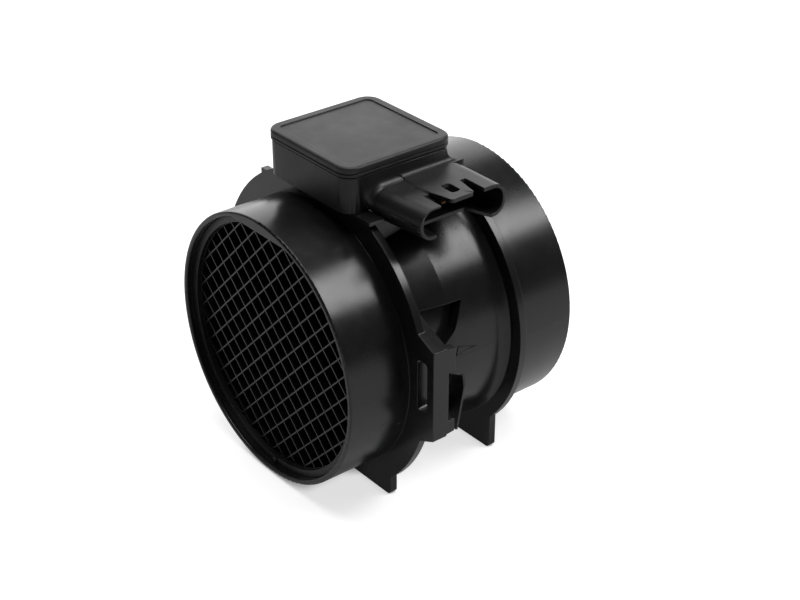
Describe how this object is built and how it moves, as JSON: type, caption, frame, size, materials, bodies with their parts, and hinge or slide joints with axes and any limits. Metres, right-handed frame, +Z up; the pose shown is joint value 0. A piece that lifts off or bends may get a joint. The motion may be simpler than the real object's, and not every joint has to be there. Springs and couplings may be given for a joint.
{
  "type": "mass airflow sensor",
  "caption": "Black moulded air tube with a flow grid in its inlet, side clip brackets, flat feet and an electronics box with a side connector on top; it measures the air an engine draws in.",
  "frame": {"origin": "on the tube axis, in the plane of the inlet rim", "axes": "+Y along the tube axis, the way the air flows; +X towards the connector; +Z up, towards the electronics box"},
  "size_m": [0.1072, 0.0854, 0.1043],
  "materials": {
    "tube_plastic": "moulded satin black",
    "grid_plastic": "moulded satin black",
    "retainer_plastic": "moulded satin black",
    "pin_steel": "dull",
    "housing_plastic": "moulded, fine grain",
    "lid_plastic": "moulded, fine grain",
    "sealant": "matt",
    "duct_plastic": "moulded satin black",
    "ceramic_plate": "unglazed",
    "thermistor_bead": "glazed bead",
    "spreader_metal": "plain",
    "board_laminate": "lacquered",
    "chip_plastic": "matt",
    "capacitor_ceramic": "plain",
    "terminal_metal": "bright",
    "lead_metal": "drawn wire"
  },
  "bodies": {
    "root": {"tube_body": "tube_plastic", "flow_grid": "grid_plastic", "grid_retainer": "retainer_plastic", "retainer_pin": "pin_steel", "box_housing": "housing_plastic", "box_lid": "lid_plastic", "lid_seal": "sealant", "base_seal": "sealant", "sensor_duct": "duct_plastic", "duct_seal": "sealant", "heated_plate": "ceramic_plate", "reference_plate": "ceramic_plate", "intake_thermistor": "thermistor_bead", "heat_spreader": "spreader_metal", "circuit_board": "board_laminate", "control_chip": "chip_plastic", "driver_chip": "chip_plastic", "terminal_1": "terminal_metal", "terminal_2": "terminal_metal", "terminal_3": "terminal_metal", "terminal_4": "terminal_metal", "terminal_5": "terminal_metal", "plate_lead_1": "lead_metal", "plate_lead_2": "lead_metal", "plate_lead_3": "lead_metal", "plate_lead_4": "lead_metal", "capacitor_1": "capacitor_ceramic", "capacitor_2": "capacitor_ceramic", "capacitor_3": "capacitor_ceramic"}
  },
  "joints": []
}
